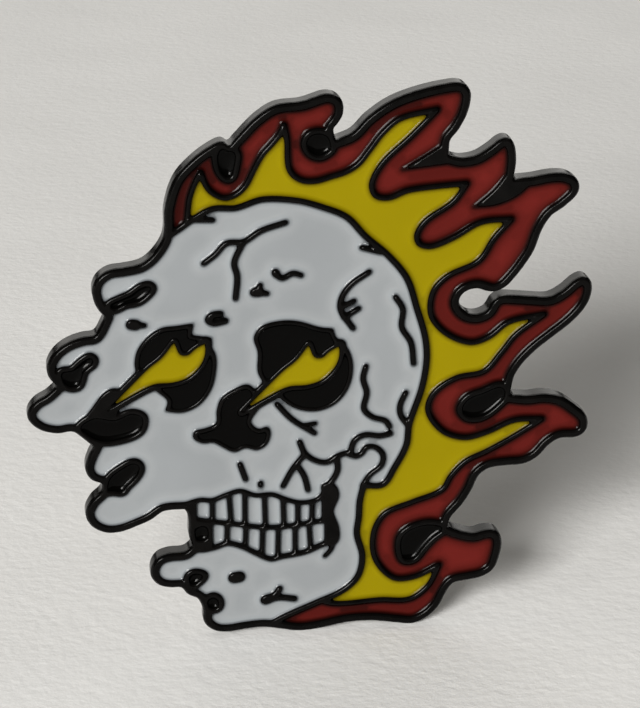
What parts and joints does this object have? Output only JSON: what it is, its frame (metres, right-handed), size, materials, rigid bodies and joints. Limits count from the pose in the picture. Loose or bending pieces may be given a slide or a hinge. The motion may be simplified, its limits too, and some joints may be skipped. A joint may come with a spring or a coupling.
{
  "type": "enamel pin",
  "caption": "Flaming skull lapel pin with melting drips, recessed soft enamel in a black metal plate, on a post with a butterfly clutch.",
  "frame": {"origin": "centre of the post's root, in the plane of the plate's flat back", "axes": "+Z towards the top of the drawing, the face looks along -Y, +Y along the post towards the wearer, +X to the right as the face is seen"},
  "size_m": [0.0299, 0.0098, 0.0303],
  "materials": {
    "black_metal": "struck metal, dyed black and polished",
    "white_enamel": "recessed soft enamel, glossy",
    "yellow_enamel": "recessed soft enamel, glossy",
    "red_enamel": "recessed soft enamel, glossy",
    "black_enamel": "recessed soft enamel, glossy",
    "plated_steel": "nickel plated",
    "gilt_brass": "bright plated, pressed"
  },
  "bodies": {
    "pin": {"anti_spin_spur": "plated_steel", "drip_gap_pool_1": "black_enamel", "drip_gap_pool_2": "black_enamel", "drip_gap_pool_3": "black_enamel", "drip_gap_pool_4": "black_enamel", "flame_core_enamel": "yellow_enamel", "flame_gap_pool_1": "black_enamel", "flame_gap_pool_2": "black_enamel", "flame_gap_pool_3": "black_enamel", "flame_gap_pool_4": "black_enamel", "flame_rim_enamel": "red_enamel", "jaw_drip_pool_1": "black_enamel", "jaw_drip_pool_2": "black_enamel", "jaw_enamel": "white_enamel", "jaw_hinge_pool": "black_enamel", "left_eye_glint": "yellow_enamel", "left_eye_pool_lower": "black_enamel", "left_eye_pool_upper": "black_enamel", "lower_tooth_1": "white_enamel", "lower_tooth_2": "white_enamel", "lower_tooth_3": "white_enamel", "lower_tooth_4": "white_enamel", "lower_tooth_5": "white_enamel", "lower_tooth_6": "white_enamel", "lower_tooth_7": "white_enamel", "metal_base": "black_metal", "needle_post": "plated_steel", "nose_pool": "black_enamel", "right_eye_glint": "yellow_enamel", "right_eye_pool_lower": "black_enamel", "right_eye_pool_upper": "black_enamel", "skull_enamel": "white_enamel", "upper_tooth_1": "white_enamel", "upper_tooth_2": "white_enamel", "upper_tooth_3": "white_enamel", "upper_tooth_4": "white_enamel", "upper_tooth_5": "white_enamel", "upper_tooth_6": "white_enamel", "upper_tooth_7": "white_enamel", "upper_tooth_8": "white_enamel"},
    "clutch_base": {"clutch_disc": "gilt_brass"},
    "clutch_head": {"clutch_cap": "gilt_brass"},
    "left_wing": {"wing_left": "gilt_brass"},
    "right_wing": {"wing_right": "gilt_brass"}
  },
  "joints": [
    {"name": "clutch_slide", "type": "slide", "parent": "pin", "child": "clutch_base", "axis": [0, 1, 0], "range_m": [-0.0008, 0.012]},
    {"name": "clutch_turn", "type": "hinge", "parent": "clutch_base", "child": "clutch_head", "pos_m": [0, 0.00195, 0], "axis": [0, 1, 0], "continuous": true},
    {"name": "wing_left_squeeze", "type": "hinge", "parent": "clutch_head", "child": "left_wing", "pos_m": [-0.0024, 0.0045, 0], "axis": [0, 0, -1], "range_deg": [0, 8], "stiffness_Nm_per_rad": 0.12},
    {"name": "wing_right_squeeze", "type": "hinge", "parent": "clutch_head", "child": "right_wing", "pos_m": [0.0024, 0.0035, 0], "axis": [0, 0, 1], "range_deg": [0, 8], "stiffness_Nm_per_rad": 0.12}
  ]
}
